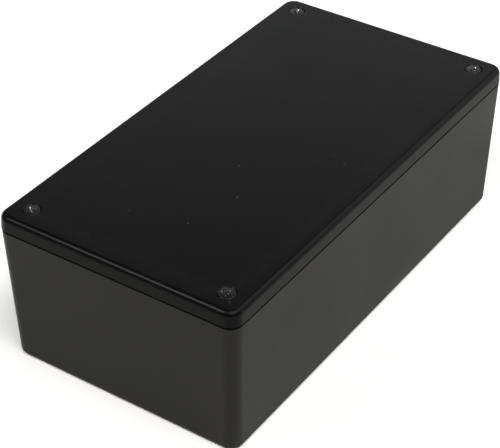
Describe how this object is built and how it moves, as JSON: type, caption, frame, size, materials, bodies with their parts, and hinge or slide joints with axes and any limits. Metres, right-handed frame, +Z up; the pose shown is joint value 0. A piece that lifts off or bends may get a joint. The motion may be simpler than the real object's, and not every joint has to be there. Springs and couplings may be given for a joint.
{
  "type": "plastic project box",
  "caption": "Black moulded plastic project box with drafted sides, card guides and board posts inside, and a shallow lap-joint lid held by countersunk screws in the corners.",
  "frame": {"origin": "centre of the box's foot, on the surface it stands on", "axes": "+X along the length, +Y along the width, +Z up through the lid"},
  "size_m": [0.15, 0.081, 0.05],
  "materials": {
    "base_moulding": "fine matt texture",
    "lid_moulding": "fine matt texture",
    "black_screw": "blackened steel",
    "bush_brass": "turned"
  },
  "bodies": {
    "base": {"base": "base_moulding", "threaded_inserts": "bush_brass"},
    "lid": {"lid": "lid_moulding", "lid_screws": "black_screw"}
  },
  "joints": [
    {"name": "lid_lift", "type": "slide", "parent": "base", "child": "lid", "axis": [0, 0, 1], "range_m": [0, 0.06]}
  ]
}
